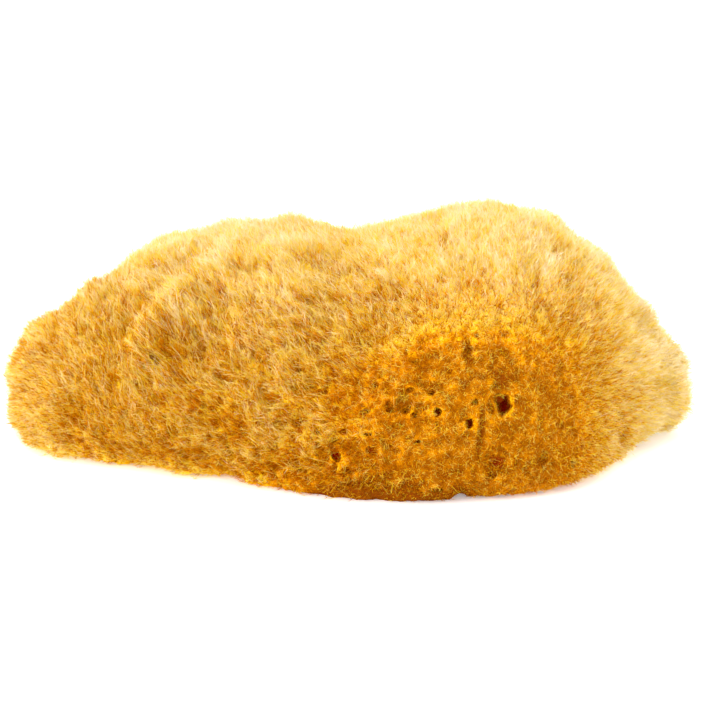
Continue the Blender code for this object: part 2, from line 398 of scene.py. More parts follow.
@dataclass(frozen=True)
class SponginFelt:
    """The felted net of spongin between the tufts. Its threads are painted paler than the gaps between them,
    partly their own tone and partly a painted highlight; the gaps are a deep orange, and nearly brown inside
    the oscula, where the flesh's colour carries painted shade."""

    name: str = "spongin_felt"
    # The net's threads are about 0.04 mm thick, which is too fine to show, so its meshes are drawn 0.4 mm
    # wide, and so are the combed threads. The share is how far a thread of the net reaches into its mesh.
    net_width: float = 0.42 * MM
    thread_share: float = 0.20
    comb_width: float = 0.45 * MM
    # Where the combed threads begin and are full in their noise, how much further along the colours a thread
    # is than a gap, partly its own paler tone and partly a painted highlight, and how far it stands out.
    streak_edges: tuple[float, float] = (0.36, 0.64)
    contrast: float = 0.75
    relief: float = 0.06 * MM
    roughness: float = 0.9

    def build(self) -> bpy.types.Material:
        """Makes the material, which reads the flesh's attributes."""
        material, tree = add_material(self.name)
        tone_and_shading, combed, combs = (
            add_node(tree, "Attribute", {"attribute_name": name}).outputs[output]
            for name, output in (("tone_and_shading", "Fac"), ("combed", "Fac"), ("combs", "Vector"))
        )
        grain = add_node(tree, "TexNoise", {"Scale": 1 / self.comb_width, "Detail": 2.0}, Vector=combs)
        low, high = self.streak_edges
        streaks = add_node(tree, "MapRange", {"From Min": low, "From Max": high}, Value=grain.outputs[0])
        net = add_node(
            tree,
            "TexVoronoi",
            {"feature": "DISTANCE_TO_EDGE", "Scale": 1 / self.net_width},
            Vector=add_node(tree, "TexCoord").outputs["Object"],
        )
        threads = add_node(
            tree,
            "MapRange",
            {"From Max": self.thread_share, "To Min": 1.0, "To Max": 0.0},
            Value=net.outputs["Distance"],
        )
        fine = add_node(tree, "Mix", i0=combed, i2=threads.outputs[0], i3=streaks.outputs[0]).outputs[0]
        # The threads are painted paler than the gaps, partly as their own tone and partly as a painted
        # highlight.
        share = add_node(tree, "MapRange", {"To Min": 1.0, "To Max": 1 + self.contrast}, Value=fine)
        level = add_node(tree, "Math", {"operation": "MULTIPLY"}, i0=share.outputs[0], i1=tone_and_shading)
        bump = add_node(tree, "Bump", {"Strength": 0.8, "Distance": self.relief}, Height=fine).outputs[0]
        shader = add_node(
            tree,
            "BsdfPrincipled",
            {"Roughness": self.roughness, "Specular IOR Level": 0.0},
            Base_Color=colour_ramp(tree, level.outputs[0], SPONGIN_COLOURS),
            Normal=bump,
        )
        add_node(tree, "OutputMaterial", Surface=shader.outputs[0])
        return material


@dataclass(frozen=True)
class WhiteBoard:
    """Matt white acrylic board, lit a little from under it, which leaves only a soft shadow on it."""

    name: str = "white_board"
    colour: str = "#F8F8F8"
    glow_colour: str = "#FFFFFF"
    glow: float = 0.3
    roughness: float = 0.9

    def build(self) -> bpy.types.Material:
        """Makes the material."""
        material, tree = add_material(self.name)
        settings = {
            "Base Color": linear(self.colour),
            "Roughness": self.roughness,
            "Specular IOR Level": 0.0,
            "Emission Color": linear(self.glow_colour),
            "Emission Strength": self.glow,
        }
        add_node(tree, "OutputMaterial", Surface=add_node(tree, "BsdfPrincipled", settings).outputs[0])
        return material


# The flesh.


@dataclass
class Surface:
    """A mesh as arrays: its points, its edges, its faces' corners, and the values kept at its points, with
    the mouths of the oscula in it."""

    places: np.ndarray
    normals: np.ndarray
    edges: np.ndarray
    faces: list[tuple[int, ...]]
    triangles: np.ndarray
    values: dict[str, np.ndarray] = field(default_factory=dict)
    mouths: list[Mouth] = field(default_factory=list)

    @classmethod
    def read(cls, mesh: bpy.types.Mesh) -> Surface:
        """Reads a mesh into arrays.

        Args:
            mesh: The mesh.

        Returns:
            Its arrays, with no values yet.
        """
        count = len(mesh.vertices)
        places, normals = np.empty(count * 3), np.empty(count * 3)
        mesh.vertices.foreach_get("co", places)
        mesh.vertex_normals.foreach_get("vector", normals)
        edges = np.empty(len(mesh.edges) * 2, int)
        mesh.edges.foreach_get("vertices", edges)
        mesh.calc_loop_triangles()
        triangles = np.empty(len(mesh.loop_triangles) * 3, int)
        mesh.loop_triangles.foreach_get("vertices", triangles)
        faces = [tuple(face.vertices) for face in mesh.polygons]
        places, normals, triangles = (values.reshape(-1, 3) for values in (places, normals, triangles))
        return cls(places, normals, edges.reshape(-1, 2), faces, triangles)

    def averaged(self, values: np.ndarray, rounds: int) -> np.ndarray:
        """Spreads values over the surface.

        Args:
            values: One row for each point.
            rounds: How many times each point takes the mean of its neighbours.

        Returns:
            The values after that.
        """
        count, (a, b) = len(self.places), self.edges.T
        degree = np.maximum(np.bincount(self.edges.ravel(), minlength=count), 1)
        rows = values.reshape(count, -1)
        for _ in range(rounds):
            sums = [np.bincount(a, x[b], count) + np.bincount(b, x[a], count) for x in rows.T]
            rows = np.stack(sums, axis=1) / degree[:, None]
        return rows.reshape(values.shape)


@dataclass(frozen=True)
class Osculum:
    """An open hole in the front. x and z place its middle, in millimetres as its other sizes are, and shade
    is how dark its inside looks, from 0 to 1."""

    x: float
    z: float
    width: float
    height: float
    depth: float
    shade: float
    # Which way the holes lead in, before their own part of the surface turns them.
    lead: tuple[float, float, float] = (0.06, 1.0, -0.27)

    def find(self, tree: BVHTree) -> Mouth:
        """Finds where the hole opens.

        Args:
            tree: The sponge's surface.

        Returns:
            Its mouth.
        """
        hits = []
        for turn in np.linspace(0, 2 * math.pi, 8, endpoint=False):
            x = self.x + 0.8 * self.width * math.cos(turn)
            z = max(self.z + 0.8 * self.height * math.sin(turn), 0.5)
            place, normal = tree.ray_cast(Vector((x * MM, -0.2, z * MM)), Vector((0, 1, 0)))[:2]
            if place is not None:
                hits.append((np.array(place), np.array(normal)))
        place = np.median([hit[0] for hit in hits], axis=0)
        place[0], place[2] = self.x * MM, self.z * MM
        normal = unit(np.mean([hit[1] for hit in hits], axis=0))
        return Mouth(self, place, unit(np.array(self.lead) - 0.25 * normal))


@dataclass(frozen=True)
class Mouth:
    """Where an osculum opens on the surface, and the way that it leads."""

    hole: Osculum
    place: np.ndarray
    inward: np.ndarray

    def locate(self, places: np.ndarray) -> tuple[np.ndarray, np.ndarray]:
        """Places points in the osculum's own terms.

        Args:
            places: The points.

        Returns:
            How deep in each one is, and how far out it is, 1 being the hole's edge.
        """
        reach = places - self.place
        deep = reach @ self.inward
        off = reach - deep[:, None] * self.inward
        half_width, half_height = self.hole.width / 2 * MM, self.hole.height / 2 * MM
        return deep, np.hypot(np.hypot(off[:, 0], off[:, 1]) / half_width, off[:, 2] / half_height)


FRONT_OSCULA = tuple(
    Osculum(*sizes)
    for sizes in (
        (29.8, 19.5, 2.5, 4.2, 6.0, 1.0),
        (28.5, 8.4, 3.4, 3.3, 2.2, 0.55),
        (28.0, 6.4, 1.4, 2.2, 1.4, 0.3),
        (22.9, 16.4, 1.4, 2.3, 4.0, 1.0),
        (16.8, 18.8, 1.5, 1.7, 4.0, 1.0),
        (24.0, 20.6, 1.3, 1.3, 1.8, 0.3),
        (10.4, 19.4, 1.9, 1.5, 3.2, 0.5),
        (12.1, 18.4, 1.4, 1.2, 1.6, 0.2),
        (7.2, 19.1, 1.4, 1.2, 3.0, 0.5),
        (2.7, 19.2, 1.8, 1.2, 2.2, 0.3),
        (4.2, 23.4, 1.4, 1.2, 2.4, 0.5),
        (11.2, 23.0, 1.7, 1.1, 1.8, 0.2),
        (15.6, 22.3, 1.5, 1.0, 2.0, 0.25),
        (3.9, 11.2, 2.0, 1.3, 3.0, 0.8),
        (3.5, 14.3, 1.6, 1.1, 2.6, 0.7),
        (7.6, 12.3, 0.8, 0.8, 2.0, 0.6),
        (-3.0, 9.6, 2.1, 2.0, 4.5, 1.0),
        (-3.6, 7.0, 1.3, 1.1, 2.5, 0.4),
        (-7.1, 10.8, 1.9, 1.5, 1.8, 0.2),
        (-7.6, 13.9, 1.9, 1.2, 2.6, 0.6),
        (-1.6, 15.0, 2.0, 1.6, 1.4, 0.1),
        (13.0, 13.1, 1.0, 1.0, 3.0, 0.6),
        (23.3, 30.2, 1.0, 1.1, 3.0, 1.0),
        (24.7, 32.8, 0.9, 1.3, 3.0, 0.7),
        (38.0, 8.0, 1.8, 2.6, 1.2, 0.1),
        (44.6, 6.3, 1.2, 2.2, 1.2, 0.1),
        (57.0, 6.8, 1.9, 2.6, 1.2, 0.1),
        (16.7, 2.8, 2.8, 0.9, 3.0, 0.9),
    )
)


@dataclass(frozen=True)
class Patch:
    """A hollow, or a raised or paler spot, of the front. x and z place its middle, in millimetres as its
    length, width and depth are, and a depth below 0 stands out. turn is its length's angle from level, in
    degrees, fade is how much paler it is, and below 0 how much deeper, which in the hollows and at the lower
    edge is painted shade, and bare is how much its fibres thin out."""

    x: float
    z: float
    length: float
    width: float
    turn: float
    depth: float
    fade: float
    bare: float = 0.0

    def strength(self, places: np.ndarray, normals: np.ndarray) -> np.ndarray:
        """How much of the patch there is at each point.

        Args:
            places: The surface's points.
            normals: Its normals.

        Returns:
            From 0 outside it to 1 in its middle.
        """
        across, up = places[:, 0] / MM - self.x, places[:, 2] / MM - self.z
        cos, sin = math.cos(math.radians(self.turn)), math.sin(math.radians(self.turn))
        along, aside = across * cos + up * sin, up * cos - across * sin
        reach = np.hypot(along / self.length, aside / self.width) * 2
        return np.exp(-(reach**3)) * ramp(-normals[:, 1], -0.1, 0.2)


FRONT_PATCHES = tuple(
    Patch(*sizes)
    for sizes in (
        # Hollows between the locks, with painted shade in them.
        (-18.4, 20.0, 5.5, 1.8, -40, 0.9, -0.14),
        (-30.1, 15.0, 8.0, 2.0, -42, 0.9, -0.14),
        (-22.1, 10.7, 7.0, 1.8, -38, 0.9, -0.12),
        (-44.3, 25.2, 9.0, 2.2, -58, 0.8, -0.12),
        (-59.6, 18.9, 5.0, 1.7, -35, 0.7, -0.10),
        (-12.5, 14.5, 5.0, 1.6, -36, 0.9, -0.12),
        (-26.5, 21.5, 6.0, 1.7, -45, 0.8, -0.10),
        (-52.5, 14.0, 6.0, 1.7, -42, 0.7, -0.10),
        (-9.0, 24.0, 5.0, 1.6, -40, 0.8, -0.10),
        # The furrows by the largest osculum and the hollow over it, with painted shade in them, and a deeper
        # colour higher up.
        (25.4, 14.4, 9.5, 1.5, 86, 0.9, -0.04),
        (22.6, 30.7, 6.0, 1.8, 95, 0.8, -0.12),
        (29.6, 24.2, 4.6, 3.6, 90, 1.0, -0.01),
        (22.0, 29.0, 28.0, 9.0, 0, 0.0, -0.08),
        # The torn lower edge of the middle and the band over it, made deeper as painted shade, and the notch
        # in it, with painted shade.
        (3.0, 0.0, 40.0, 4.4, 0, -1.6, -0.4, 1.0),
        (6.0, 4.6, 34.0, 3.4, 0, -0.7, -0.10),
        (21.5, 1.0, 3.2, 2.6, 90, 1.0, -0.3, 1.0),
        # A dimple and two hollows high on the right hump, with painted shade in them.
        (18.6, 46.8, 3.0, 2.0, 0, 0.9, -0.22),
        (43.0, 44.5, 4.0, 2.6, -30, 1.2, -0.30),
        (45.0, 40.0, 4.0, 2.6, -50, 1.2, -0.25),
        # Faded, matted spots.
        (-32.9, 31.7, 12.0, 6.0, 20, -0.6, 0.16),
        (-38.0, 20.5, 5.0, 4.0, 60, -0.5, 0.16),
        (40.0, 43.0, 3.6, 2.2, 10, -1.0, 0.10),
        (55.1, 23.1, 4.0, 1.6, 20, -0.4, 0.25),
    )
)


@dataclass
class Flesh:
    """The felted body under the fibres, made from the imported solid."""

    growth: Growth
    name: str = "sponge_flesh"
    finish: SponginFelt = field(default_factory=SponginFelt)
    # The remeshing, with how many rounds smooth it.
    voxel: float = 0.68 * MM
    smoothing: int = 8
    # A point is in an osculum if its own normal meets another wall this soon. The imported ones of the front
    # are closed in this many rounds.
    osculum_width: float = 7 * MM
    closing_rounds: int = 500
    # How uneven an osculum's edge is, over what distance, and how far in what is in line with its mouth is
    # its own inside.
    raggedness: float = 0.35
    ragged_width: float = 1.1 * MM
    column: float = 12 * MM
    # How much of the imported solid's own lumps is evened out, since the fibres hide what lies between them.
    evening: float = 0.7
    evening_rounds: int = 40
    # Over how many rounds of neighbours the way out, being near an osculum and being in a hollow are read.
    outward_rounds: int = 12
    near_rounds: int = 10
    hollow_rounds: int = 24
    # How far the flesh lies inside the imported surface, in the felt and under the combed pile, how much
    # further where the locks are parted, and over what height it comes out again towards the cut.
    inset_felt: float = 0.8 * MM
    inset_combed: float = 1.5 * MM
    inset_parted: float = 0.9 * MM
    cut_inset: float = 0.2 * MM
    cut_height: float = 4 * MM
    # How much weaker its relief is at the cut, and how far the torn lower edge goes in and out, over what
    # distance.
    cut_calm: float = 0.7
    torn: float = 0.6 * MM
    torn_width: float = 1.5 * MM
    # Combed ridges and the long pits between them, where the locks are least and most parted.
    ridge_width: float = 2.0 * MM
    ridge_length: float = 8 * MM
    ridge_height: tuple[float, float] = (0.2 * MM, 0.85 * MM)
    pit_width: float = 2.6 * MM
    pit_length: float = 7 * MM
    pit_depth: tuple[float, float] = (0.2 * MM, 1.3 * MM)
    # How fast a strand and a lock change along the growth, compared with across it.
    strand_share: float = 0.13
    lock_share: float = 0.20
    # How high a ridge stands over a hollow, the share of hollow that changes no colour, how much the rest
    # differs, deeper in the hollows as painted shade and paler on the ridges as painted light, and the
    # deepest that it gets in the felt, with what the glow between combed locks adds.
    hollow_reach: float = 1.6 * MM
    hollow_middle: float = 0.45
    hollow_painted_shade: float = 0.34
    deepest_colour: float = 0.10
    combed_glow: float = 0.06
    # How much deeper the flesh's colour is than its fibres', and how much deeper inside an osculum, as
    # painted shade, and the deepest that it gets, as painted shade, under the torn lower edge and inside an
    # osculum.
    felt_colour: float = 0.03
    osculum_painted_shade: float = 0.15
    torn_edge_deepest_shade: float = 0.05
    osculum_deepest_shade: float = 0.01

    def remeshed(self) -> bpy.types.Mesh:
        """An even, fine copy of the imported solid."""
        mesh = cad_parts[CAD_NODE].data.copy()
        bm = bmesh.new()
        bm.from_mesh(mesh)
        bmesh.ops.remove_doubles(bm, verts=bm.verts, dist=0.01 * MM)
        bm.to_mesh(mesh)
        bm.free()
        rough = add_object("rough_flesh", mesh)
        even = rough.modifiers.new("even", "REMESH")
        even.mode = "VOXEL"
        even.voxel_size = self.voxel
        rounded = rough.modifiers.new("rounded", "SMOOTH")
        rounded.iterations = self.smoothing
        fine = bpy.data.meshes.new_from_object(rough.evaluated_get(bpy.context.evaluated_depsgraph_get()))
        bpy.data.objects.remove(rough)
        return fine

    def close_oscula(self, mesh: bpy.types.Mesh) -> None:
        """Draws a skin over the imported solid's front oscula, which open_oscula opens again.

        Args:
            mesh: The even copy of the solid, which is changed.
        """
        surface = Surface.read(mesh)
        near = np.zeros(len(surface.places), bool)
        for hole in FRONT_OSCULA:
            across = (surface.places[:, 0] / MM - hole.x) / (0.85 * hole.width + 0.8)
            up = (surface.places[:, 2] / MM - hole.z) / (0.85 * hole.height + 0.8)
            near |= (np.hypot(across, up) < 1) & (surface.places[:, 1] < 0)
        skin = near & (self.find_oscula(surface) > 0.01)
        surface.edges = surface.edges[skin[surface.edges].any(axis=1)]
        for _ in range(self.closing_rounds):
            surface.places = np.where(skin[:, None], surface.averaged(surface.places, 1), surface.places)
        mesh.vertices.foreach_set("co", surface.places.ravel())
        mesh.update()

    def refined(self, mesh: bpy.types.Mesh) -> list[Mouth]:
        """Makes the mesh finer round each osculum of the front.

        Args:
            mesh: The even copy of the solid, which is changed.

        Returns:
            The oscula's mouths.
        """
        bm = bmesh.new()
        bm.from_mesh(mesh)
        tree = BVHTree.FromBMesh(bm)
        mouths = [hole.find(tree) for hole in FRONT_OSCULA]
        tips = KDTree(len(bm.verts))
        for vertex in bm.verts:
            tips.insert(vertex.co, vertex.index)
        tips.balance()
        near = {
            index
            for mouth in mouths
            for _, index, _ in tips.find_range(mouth.place, (0.75 * mouth.hole.height + 1.6) * MM)
        }
        edges = [edge for edge in bm.edges if edge.verts[0].index in near and edge.verts[1].index in near]
        bmesh.ops.subdivide_edges(bm, edges=edges, cuts=1, use_grid_fill=True)
        bm.to_mesh(mesh)
        bm.free()
        return mouths

    def open_oscula(self, places: np.ndarray, mouths: list[Mouth]) -> tuple[np.ndarray, ...]:
        """Brings what is in line with each osculum to the funnel that its own depth gives.

        Args:
            places: The surface's points.
            mouths: The oscula's mouths.

        Returns:
            How each point moves, how shut in it is afterwards, how near to an edge it is, and whether it is
            at one of these oscula.
        """
        moves, claimed = np.zeros_like(places), np.zeros(len(places), bool)
        shade, rim = np.zeros(len(places)), np.zeros(len(places))
        ragged = 1 + self.raggedness * SmoothNoise(25)(places / self.ragged_width)
        for mouth in mouths:
            deep, share = mouth.locate(places)
            share *= ragged
            close = np.abs(deep) < self.column
            bottom = np.clip(1 - share**3, 0, 1) * mouth.hole.depth * MM
            moves += ((bottom - deep) * close * (share < 1))[:, None] * mouth.inward
            shade = np.maximum(shade, (1 - ramp(share, 0.45, 1.05)) * mouth.hole.shade * close)
            rim = np.maximum(rim, (1 - ramp(share, 0.9, 1.6)) * mouth.hole.shade * close)
            claimed |= close & (share < 2.2)
        return moves, shade, rim, claimed

    def find_oscula(self, surface: Surface) -> np.ndarray:
        """Tells which points are inside an osculum.

        Args:
            surface: The even copy of the solid.

        Returns:
            From 0 in the open to 1 well inside, for each point.
        """
        tree = BVHTree.FromPolygons(surface.places.tolist(), surface.faces)
        inside = np.zeros(len(surface.places))
        lift = 0.05 * MM
        for index, (place, normal) in enumerate(zip(surface.places, surface.normals)):
            if tree.ray_cast(place + normal * lift, normal, self.osculum_width)[0] is not None:
                inside[index] = 1
        return ramp(surface.averaged(inside, 2), 0.15, 0.7)

    def shape(self) -> Surface:
        """Sinks the surface, opens its oscula and carves its ridges, pits and torn lower edge.

        Returns:
            The finished surface, with how combed, shut in and inset it is at each point, and its colour.
        """
        mesh = self.remeshed()
        self.close_oscula(mesh)
        mouths = self.refined(mesh)
        surface = Surface.read(mesh)
        places, normals = surface.places, surface.normals
        funnels, shade, rim, claimed = self.open_oscula(places, mouths)
        shut_in = np.where(claimed, shade, self.find_oscula(surface))
        near_hole = surface.averaged(shut_in, self.near_rounds)
        even = surface.averaged(places, self.evening_rounds)
        places = places + (self.evening * (1 - ramp(near_hole, 0.0, 0.02)))[:, None] * (even - places)
        out = unit(surface.averaged(normals, self.outward_rounds))
        growth = self.growth
        combed, relief = growth.combed(places), growth.relief(places)
        underside = ramp(-normals[:, 2], 0.75, 0.95) * ramp(-places[:, 2], -1.5 * MM, -0.5 * MM)
        near_cut = 1 - ramp(places[:, 2], 0, self.cut_height)
        inset = between(self.inset_felt, self.inset_combed, combed) + self.inset_parted * relief
        inset = inset + (self.cut_inset - inset) * near_cut
        inset *= 1 - shut_in
        ridges = growth.streaks(places, self.ridge_width, self.ridge_length, 21)
        rise = ridges * between(*self.ridge_height, relief)
        pits = ramp(growth.streaks(places, self.pit_width, self.pit_length, 22), 0.28, 0.62)
        rise -= pits * (1 - shut_in) * between(*self.pit_depth, relief)
        rise *= 1 - self.cut_calm * near_cut
        rise += self.torn * near_cut**2 * SmoothNoise(26)(places / self.torn_width)
        fade, bare = np.zeros(len(places)), np.zeros(len(places))
        # Each patch sinks or raises the flesh and deepens or pales its colour; in the hollows and at the
        # lower edge that deepening is painted shade.
        for patch in FRONT_PATCHES:
            strength = patch.strength(places, out) * (1 - shut_in)
            rise -= patch.depth * MM * strength
            fade += patch.fade * strength
            bare = np.maximum(bare, patch.bare * strength)
        surface.places = places + out * (rise - inset)[:, None] + funnels
        surface.places[:, 2] = np.maximum(surface.places[:, 2], 0.0)
        # Painted shade and light: the colour is made deeper where the flesh lies in a hollow and paler where
        # it stands on a ridge.
        around = surface.averaged(surface.places, self.hollow_rounds)
        hollow = np.clip(0.5 - ((surface.places - around) * out).sum(axis=1) / self.hollow_reach, 0, 1)
        tone_and_shading = growth.tone_light_and_shade(places) - self.hollow_painted_shade * (hollow - self.hollow_middle)
        tone_and_shading = np.maximum(tone_and_shading, self.deepest_colour + self.combed_glow * combed) + fade
        surface.normals, surface.mouths = out, mouths
        surface.values = {
            "combed": combed,
            "relief": relief,
            "shut_in": shut_in,
            "near_hole": near_hole,
            "inset": inset,
            "underside": underside,
            "bare": bare,
            "rim": rim,
            "tone_and_shading": tone_and_shading,
            "ways": growth.direction(places),
            "combs": growth.combs(places, self.strand_share),
            "lock_combs": growth.combs(places, self.lock_share),
        }
        return surface

    def build(self) -> tuple[bpy.types.Object, Surface]:
        """Makes the flesh.

        Returns:
            Its object, and its surface for the fibres to grow from.
        """
        surface = self.shape()
        mesh = bpy.data.meshes.new(self.name)
        mesh.from_pydata(surface.places.tolist(), [], surface.faces)
        mesh.polygons.foreach_set("use_smooth", [True] * len(mesh.polygons))
        known = surface.values
        combed, combs, shut_in, tone_and_shading = (known[name] for name in ("combed", "combs", "shut_in", "tone_and_shading"))
        # Painted shade inside the oscula: the colour is made deeper by how shut in a point is, down to a dark
        # red inside them and a brown under the torn lower edge.
        deep = tone_and_shading - self.osculum_painted_shade * shut_in - self.felt_colour
        deep = np.maximum(deep, between(self.torn_edge_deepest_shade, self.osculum_deepest_shade, shut_in))
        for name, values in {"tone_and_shading": deep, "combed": combed}.items():
            mesh.attributes.new(name, "FLOAT", "POINT").data.foreach_set("value", values)
        mesh.attributes.new("combs", "FLOAT_VECTOR", "POINT").data.foreach_set("vector", combs.ravel())
        mesh.materials.append(self.finish.build())
        return add_object(self.name, mesh), surface


# The fibres.


# The fibres' colours stay between these shares of the colour map. Up the map, a blade's two edges lie apart
# and its tip lies between them.
FIBRE_TONES = (0.15, 0.99)
BLADE_EDGES = (0.1, 0.9)
BLADE_TIP = 0.5


@dataclass
class Roots:
    """Points of the flesh that fibres grow from, with what is known there."""

    places: np.ndarray
    normals: np.ndarray
    values: dict[str, np.ndarray]

    def __len__(self) -> int:
        """How many there are."""
        return len(self.places)

    def __getitem__(self, name: str) -> np.ndarray:
        """One of the values that are known at each root."""
        return self.values[name]


@dataclass(frozen=True)
class FibreKind:
    """One kind of fibre: how many there are, their least and greatest length, half the width of one at its
    root, and how deep under the flesh it begins."""

    count: int
    length: tuple[float, float]
    width: float
    sunk: float
    # How each one's colour changes from its root to its tip, deeper at the root as painted shade and paler at
    # the tip as painted light, and how much they differ in that.
    root_shade_tip_light: tuple[float, ...]
    spread: float
    # How far their flat sides turn from the surface, and how much they follow ways of their own.
    turn: float
    looseness: float = 0.0
    # The least that they rise, as a share of their length, and the least rise that is reckoned with.
    rise: tuple[float, float] = (0.0, 0.0)


@dataclass
class Strands:
    """Fibres as arrays: each one's path, half its width and its colour along it, its tone with painted light
    and shade, and the way that its flat side faces."""

    paths: np.ndarray
    widths: np.ndarray
    tone_and_shading: np.ndarray
    facing: np.ndarray

    @property
    def cost(self) -> int:
        """How many triangles each one takes."""
        return 2 * self.paths.shape[1] - 3

    def blades(self) -> tuple[np.ndarray, np.ndarray, np.ndarray]:
        """Makes each strand a thin flat blade that ends in a point.

        Returns:
            The points, the triangles, and each point's place on the colour map.
        """
        count, steps = self.paths.shape[:2]
        side = unit(np.cross(self.paths[:, -1] - self.paths[:, 0], self.facing))
        across = side[:, None] * self.widths[:, :-1, None]
        edges = np.stack([self.paths[:, :-1] - across, self.paths[:, :-1] + across], axis=2)
        points = np.concatenate([edges.reshape(count, -1, 3), self.paths[:, -1:]], axis=1)
        faces = [(last := 2 * (steps - 2), last + 1, last + 2)]
        for k in range(0, last, 2):
            faces += [(k, k + 1, k + 3), (k, k + 3, k + 2)]
        each = points.shape[1]
        triangles = np.array(faces)[None] + (np.arange(count) * each)[:, None, None]
        colours = np.clip(np.repeat(self.tone_and_shading, 2, axis=1)[:, :-1], *FIBRE_TONES)
        heights = np.broadcast_to(np.tile(BLADE_EDGES, steps)[: 2 * steps - 1], colours.shape).copy()
        heights[:, -1] = BLADE_TIP
        chart = np.stack([colours, heights], axis=-1)
        return points.reshape(-1, 3), triangles.reshape(-1, 3), chart.reshape(-1, 2)

    def chosen(self, picked: np.ndarray) -> Strands:
        """Only the strands that are picked."""
        return Strands(self.paths[picked], self.widths[picked], self.tone_and_shading[picked], self.facing[picked])


class Region(Enum):
    """The stretches of the sponge whose fibres are one mesh each, from its left end to its right one."""

    LEFT_END = "tufts_left_end"
    LEFT_LOBE = "tufts_left_lobe"
    SADDLE = "tufts_saddle"
    RIGHT_HUMP = "tufts_right_hump"
    RIGHT_END = "tufts_right_end"


@dataclass
class Tufts:
    """All the fibres: long ones that lean together in locks, their side fibres, an even pile, and the short
    felt."""

    surface: Surface
    finish: SponginFibre = field(default_factory=SponginFibre)
    seed: int = 5
    # A real fibre is about 0.04 mm thick, too fine to show, so each one here stands for a strand of several.
    # Their numbers keep all the pieces together under a million triangles.
    long: FibreKind = FibreKind(
        count=44_000,
        length=(2.76 * MM, 5.52 * MM),
        width=0.09 * MM,
        sunk=0.15 * MM,
        root_shade_tip_light=(-0.26, 0.0, 0.18),
        spread=0.06,
        turn=0.8,
        looseness=0.08,
        rise=(0.25, 0.15),
    )
    sides: FibreKind = FibreKind(
        count=140_000,
        length=(0.9 * MM, 2.2 * MM),
        width=0.06 * MM,
        sunk=0.0,
        root_shade_tip_light=(0.0, 0.08),
        spread=0.07,
        turn=0.5,
        looseness=0.36,
    )
    pile: FibreKind = FibreKind(
        count=112_000,
        length=(1.4 * MM, 3.4 * MM),
        width=0.095 * MM,
        sunk=0.1 * MM,
        root_shade_tip_light=(-0.24, 0.0, 0.16),
        spread=0.07,
        turn=0.6,
        looseness=0.2,
        rise=(0.30, 0.20),
    )
    felt: FibreKind = FibreKind(
        count=150_000,
        length=(0.8 * MM, 1.7 * MM),
        width=0.065 * MM,
        sunk=0.05 * MM,
        root_shade_tip_light=(0.0, 0.06),
        spread=0.10,
        turn=0.6,
    )
    # How many locks the long fibres lean together in, how loosely a whole lock follows the growth, and how
    # far tips draw to the tip of their lock's leader.
    locks: int = 7_000
    lock_looseness: float = 0.14
    lock_draw: float = 0.45
    # How far the long fibres' middles stray, and how much the pile curls, as a share of its length.
    stray: float = 0.2 * MM
    curl: float = 0.26
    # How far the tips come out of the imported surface, and the least height of a fibre.
    proud: tuple[float, float] = (-0.5 * MM, 0.7 * MM)
    least_height: float = 0.3 * MM
    # Where being near an osculum reads over this, a fibre is kept only if flesh is met below its tip, no
    # further down than its own rise and this reach, or than the least reach.
    near_mouth: float = 0.004
    reach: float = 1.6 * MM
    least_reach: float = 1.0 * MM
    # How far above and below an osculum's mouth no fibre may cross it.
    column: float = 12 * MM
    # The lowest that a fibre's path may come, so that its width stays above the resting plane.
    floor: float = 0.12 * MM
    # How wide a strand of neighbouring fibres that share a tone is, how far their tips draw together, and how
    # much their colours differ, where the sponge is most and least pale: the proud strands are painted paler,
    # as light on them, and the low ones deeper, as painted shade between them. Some fibres are painted paler
    # still, as glints.
    strand_width: float = 0.55 * MM
    gathering: float = 0.20 * MM
    strand_light_and_shade: tuple[float, float] = (0.26, 0.60)
    painted_glint: float = 0.4
    painted_glint_share: float = 0.15
    # The locks, the clefts between them, how much shorter the fibres are there and how much deeper their
    # colour is, as painted shade in the clefts, and how far their tips draw apart.
    lock_width: float = 1.25 * MM
    cleft_edge: tuple[float, float] = (0.08, 0.42)
    cleft_depth: float = 0.65
    cleft_painted_shade: float = 0.34
    parting: float = 0.22 * MM
    # How much deeper in colour the fibres round an osculum are, as painted shade, the deepest of all, what
    # the glow between combed locks adds, and the palest, where the sponge is least and most pale.
    rim_painted_shade: float = 0.10
    deepest_colour: float = 0.16
    combed_glow: float = 0.06
    palest_colour: tuple[float, float] = (0.50, 0.98)

    def __post_init__(self) -> None:
        """Prepares the random numbers and the surface's tree."""
        self.rng = np.random.default_rng(self.seed)
        self.tree = BVHTree.FromPolygons(self.surface.places.tolist(), self.surface.faces)

    def scatter(self, count: int, density: np.ndarray) -> Roots:
        """Scatters roots over the flesh.

        Args:
            count: How many.
            density: How densely they grow at each point of the surface.

        Returns:
            The roots.
        """
        corners = self.surface.places[self.surface.triangles]
        area = np.linalg.norm(np.cross(corners[:, 1] - corners[:, 0], corners[:, 2] - corners[:, 0]), axis=1)
        weight = area * density[self.surface.triangles].mean(axis=1)
        picked = self.rng.choice(len(corners), count, p=weight / weight.sum())
        blend = self.rng.dirichlet((1, 1, 1), count)
        verts = self.surface.triangles[picked]

        def read(values: np.ndarray) -> np.ndarray:
            """Values at the roots."""
            return np.einsum("nk,nk...->n...", blend, values[verts])

        values = {name: read(value) for name, value in self.surface.values.items()}
        ways, normals = unit(values["ways"]), unit(read(self.surface.normals))
        strands, lean = self.pattern(41, values["combs"] / self.strand_width)
        locks, part = self.pattern(43, values["lock_combs"] / self.lock_width)
        clefts = ramp(-locks, *self.cleft_edge) * between(0.4, 1.0, values["relief"]) * values["combed"]
        lean = self.gathering * lean + self.parting * part
        for axis in (ways, normals):
            lean -= (lean * axis).sum(axis=1)[:, None] * axis
        values |= {"ways": ways, "strands": np.clip(2.3 * strands, -1, 1), "lean": lean, "clefts": clefts}
        return Roots(read(self.surface.places), normals, values)

